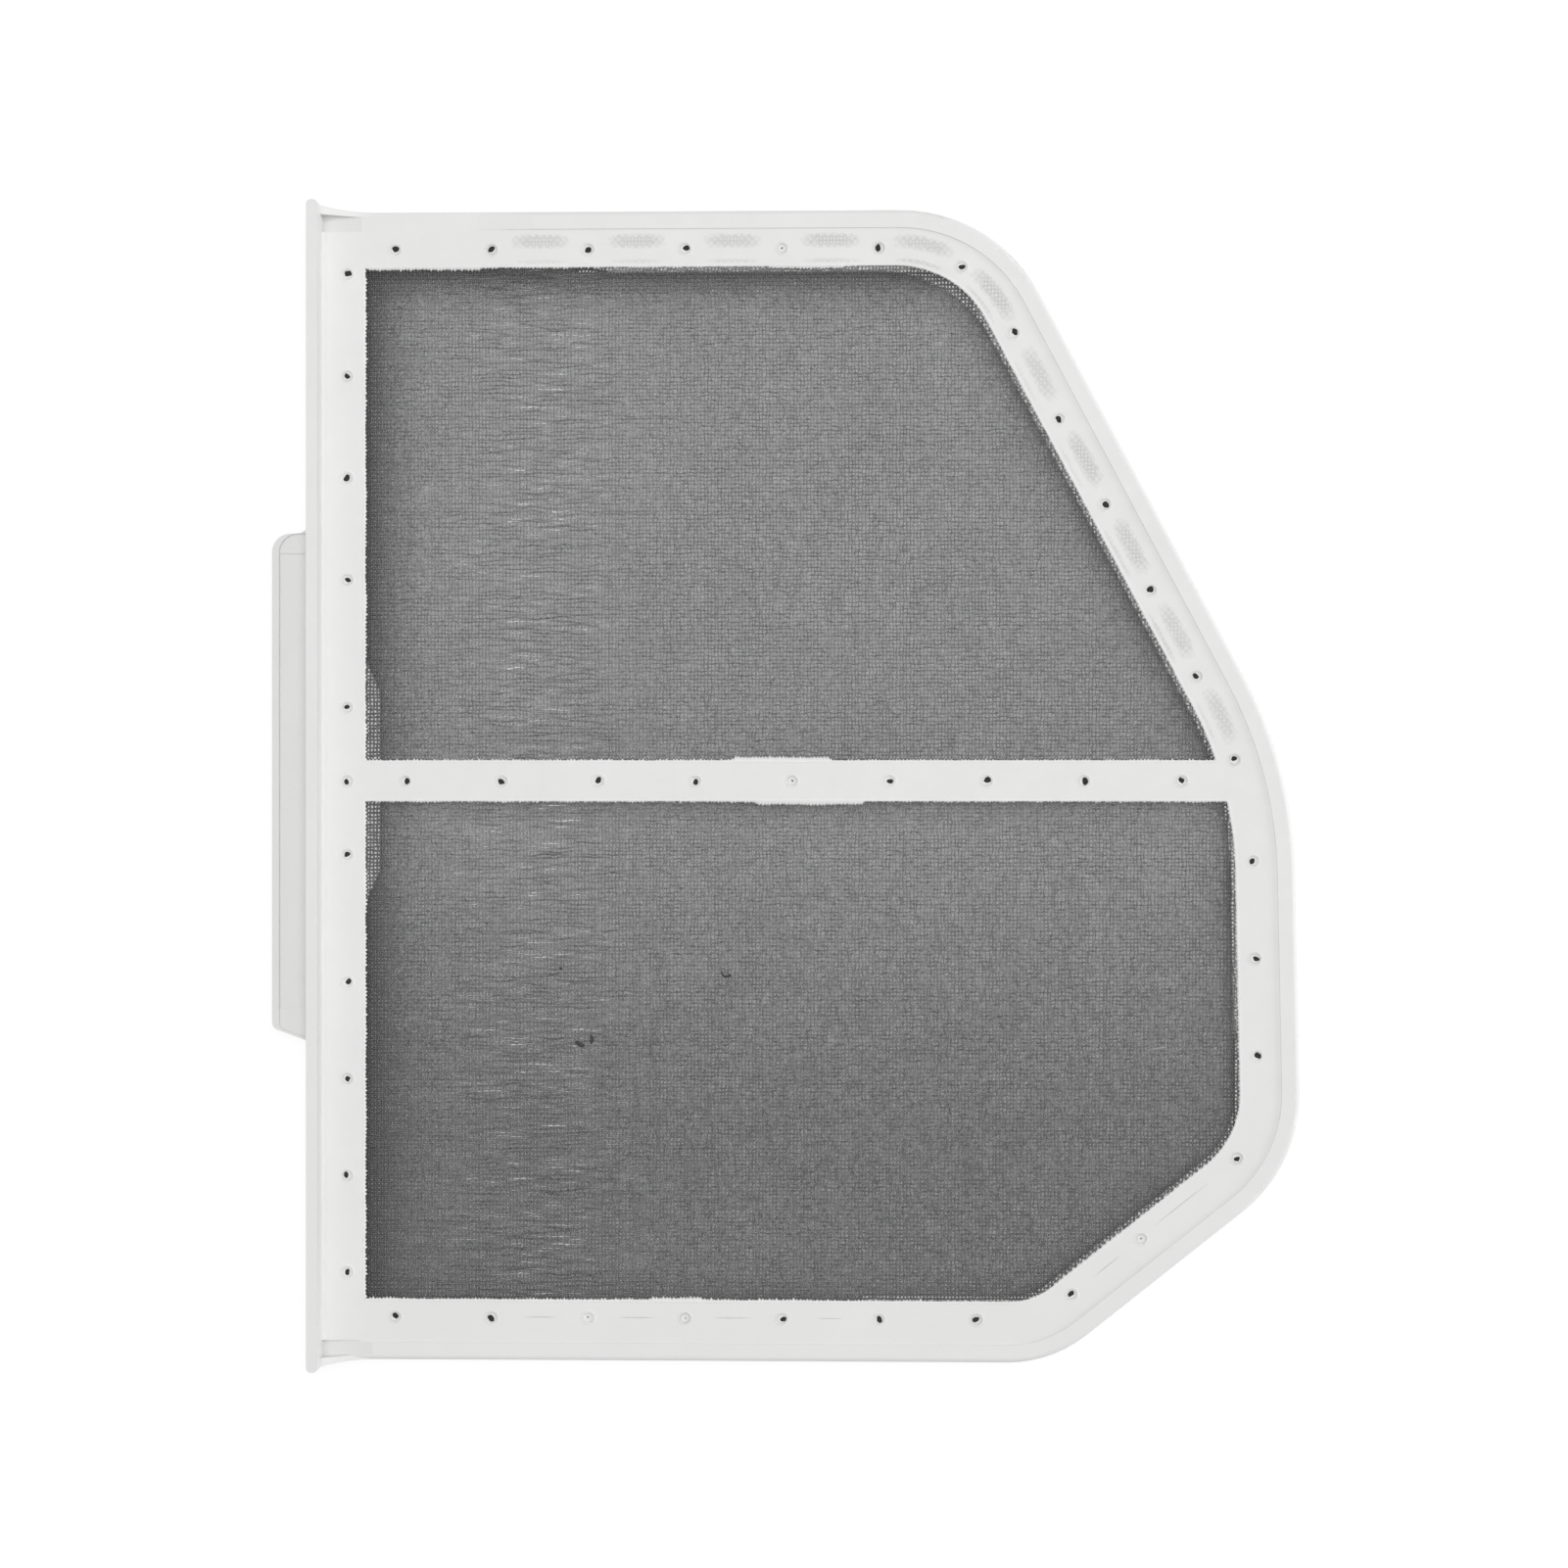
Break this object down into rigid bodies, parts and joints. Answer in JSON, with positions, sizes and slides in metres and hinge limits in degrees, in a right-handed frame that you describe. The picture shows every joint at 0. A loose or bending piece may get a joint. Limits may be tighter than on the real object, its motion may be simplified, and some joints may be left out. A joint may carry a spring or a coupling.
{
  "type": "tumble dryer lint filter",
  "caption": "White moulded frame with a crossbar, end cap and grip lip, holding a grey woven screen that catches lint in a tumble dryer's air duct.",
  "frame": {"origin": "middle of the part's box, on the rear face that it lies on", "axes": "+X from the cap towards the far end of the screen, +Y along the cap, +Z out of the screen's front"},
  "size_m": [0.2608, 0.2964, 0.013],
  "materials": {
    "frame_plastic": "satin white moulding",
    "screen_cloth": "plain woven monofilament"
  },
  "bodies": {
    "root": {"frame": "frame_plastic", "screen_mesh": "screen_cloth"}
  },
  "joints": []
}
